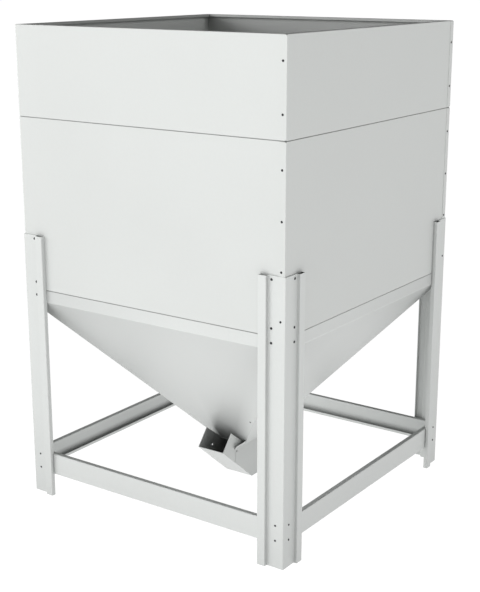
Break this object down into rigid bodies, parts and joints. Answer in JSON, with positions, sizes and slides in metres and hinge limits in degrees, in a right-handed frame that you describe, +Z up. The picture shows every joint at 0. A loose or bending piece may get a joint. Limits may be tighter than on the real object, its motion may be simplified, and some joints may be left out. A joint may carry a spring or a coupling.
{
  "type": "pellet silo",
  "caption": "Square open-topped pellet silo on folded sheet legs, with a pyramid hopper, a brace ring and an inclined auger trough at the outlet.",
  "frame": {"origin": "on the floor, under the middle of the square body", "axes": "+Z up; the auger trough opens towards -Y, and +X is to the right when facing that side"},
  "size_m": [1.2342, 1.2342, 1.8619],
  "materials": {
    "wall_coat": "smooth off-white powder coat",
    "hopper_coat": "smooth off-white powder coat",
    "frame_coat": "smooth pale grey powder coat",
    "outlet_coat": "smooth pale grey powder coat"
  },
  "bodies": {
    "root": {"band_front": "wall_coat", "band_right": "wall_coat", "band_back": "wall_coat", "band_left": "wall_coat", "panel_front": "wall_coat", "panel_right": "wall_coat", "panel_back": "wall_coat", "panel_left": "wall_coat", "hopper_front": "hopper_coat", "hopper_right": "hopper_coat", "hopper_back": "hopper_coat", "hopper_left": "hopper_coat", "leg_front_right": "frame_coat", "leg_back_right": "frame_coat", "leg_back_left": "frame_coat", "leg_front_left": "frame_coat", "packing_front_right": "frame_coat", "packing_back_right": "frame_coat", "packing_back_left": "frame_coat", "packing_front_left": "frame_coat", "brace_front": "frame_coat", "brace_right": "frame_coat", "brace_back": "frame_coat", "brace_left": "frame_coat", "outlet_trough": "outlet_coat", "outlet_back": "outlet_coat"}
  },
  "joints": []
}
